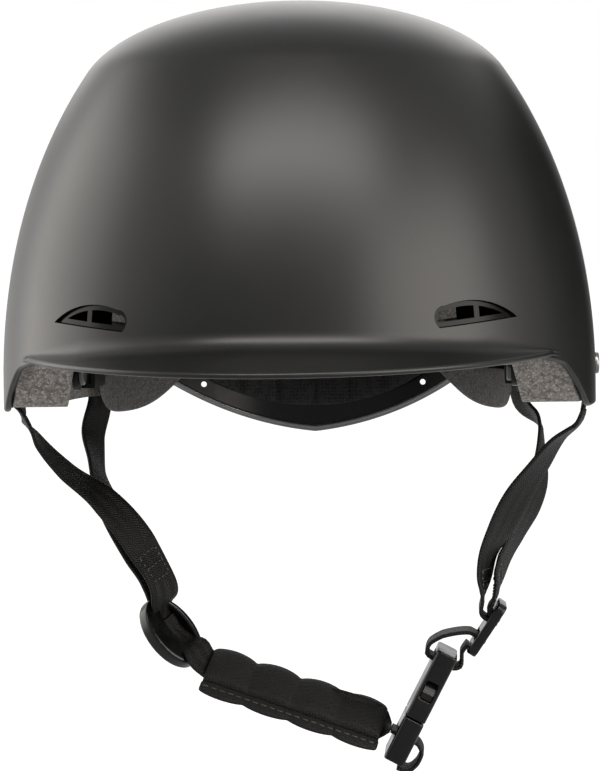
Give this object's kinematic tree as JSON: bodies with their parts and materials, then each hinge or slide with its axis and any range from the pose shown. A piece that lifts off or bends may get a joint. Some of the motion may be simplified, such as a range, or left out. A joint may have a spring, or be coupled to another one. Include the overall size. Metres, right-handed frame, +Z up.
{
  "type": "skateboard helmet",
  "caption": "Skateboard helmet: satin shell with a short moulded visor, foam liner, dial-adjusted nape cradle, padded chin strap and side-release buckle",
  "frame": {"origin": "centre of the head opening: x = 0 and y = 0 on the widest section, z = 0 at the lowest edge of the shell", "axes": "+Z is up through the crown, -Y is the wearer's forward, towards the visor, and +X is the wearer's left"},
  "size_m": [0.2156, 0.2645, 0.2811],
  "materials": {
    "shell": "satin black, lightly textured",
    "foam": "dark grey bead foam with paler specks",
    "gloss_trim": "gloss black",
    "rivet_metal": "black coated steel",
    "anchor_plastic": "moulded black",
    "pad_fabric": "brushed knit over foam",
    "hook_tape": "hook tape",
    "cradle_plastic": "semi-gloss moulded black",
    "dial_plastic": "moulded black, knurled grip",
    "webbing": "woven black webbing",
    "chin_fabric": "soft quilted knit",
    "hardware_plastic": "polished moulded black"
  },
  "bodies": {
    "helmet": {"arm_pin_left": "anchor_plastic", "arm_pin_right": "anchor_plastic", "brow_pad": "pad_fabric", "buckle_female": "hardware_plastic", "buckle_loop_webbing": "webbing", "chin_pad": "chin_fabric", "chin_pad_flap": "chin_fabric", "chin_webbing_right": "webbing", "crown_pad": "pad_fabric", "eps_liner": "foam", "front_strap_left": "webbing", "front_strap_right": "webbing", "front_vent_insert_left": "gloss_trim", "front_vent_insert_right": "gloss_trim", "hook_dots": "hook_tape", "outer_shell": "shell", "rear_pad": "pad_fabric", "rear_strap_anchors": "anchor_plastic", "rear_strap_left": "webbing", "rear_strap_right": "webbing", "rear_vent_insert_left": "gloss_trim", "rear_vent_insert_right": "gloss_trim", "rivet_washers": "rivet_metal", "side_pad_left": "pad_fabric", "side_pad_right": "pad_fabric", "strap_ring_right": "hardware_plastic", "strap_rivets": "rivet_metal", "strap_slider_left": "hardware_plastic"},
    "cradle_arms": {"cradle_arm_left": "cradle_plastic", "cradle_arm_right": "cradle_plastic"},
    "cradle": {"cradle_yoke": "cradle_plastic", "cradle_pad": "pad_fabric", "dial_housing_cover": "cradle_plastic", "cover_screws": "rivet_metal", "dial_spindle": "rivet_metal"},
    "dial": {"fit_dial": "dial_plastic", "dial_pinion": "dial_plastic"},
    "rack_left": {"rack_left": "dial_plastic"},
    "rack_right": {"rack_right": "dial_plastic"},
    "buckle_plug": {"buckle_male": "hardware_plastic", "buckle_prongs": "hardware_plastic", "buckle_link_webbing": "webbing"}
  },
  "joints": [
    {"name": "cradle_tilt", "type": "hinge", "parent": "helmet", "child": "cradle_arms", "pos_m": [0, -0.03, 0.014], "axis": [1, 0, 0], "range_deg": [-4, 4]},
    {"name": "cradle_draw", "type": "slide", "parent": "cradle_arms", "child": "cradle", "axis": [0, -1, 0], "range_m": [0, 0.012]},
    {"name": "dial_turn", "type": "hinge", "parent": "cradle", "child": "dial", "pos_m": [0, 0.1, -0.0025], "axis": [0, 1, 0], "range_deg": [0, 171.8]},
    {"name": "rack_left_slide", "type": "slide", "parent": "cradle", "child": "rack_left", "axis": [-1, 0, 0], "range_m": [0, 0.012]},
    {"name": "rack_right_slide", "type": "slide", "parent": "cradle", "child": "rack_right", "axis": [1, 0, 0], "range_m": [0, 0.012]},
    {"name": "buckle_release", "type": "slide", "parent": "helmet", "child": "buckle_plug", "axis": [-0.4587, 0, -0.8886], "range_m": [0, 0.018], "deforming": ["buckle_prongs"]}
  ],
  "couplings": [
    {"joint": "cradle_draw", "follows": "dial_turn", "m_per_rad": 0.004},
    {"joint": "rack_left_slide", "follows": "dial_turn", "m_per_rad": 0.004},
    {"joint": "rack_right_slide", "follows": "dial_turn", "m_per_rad": 0.004}
  ]
}
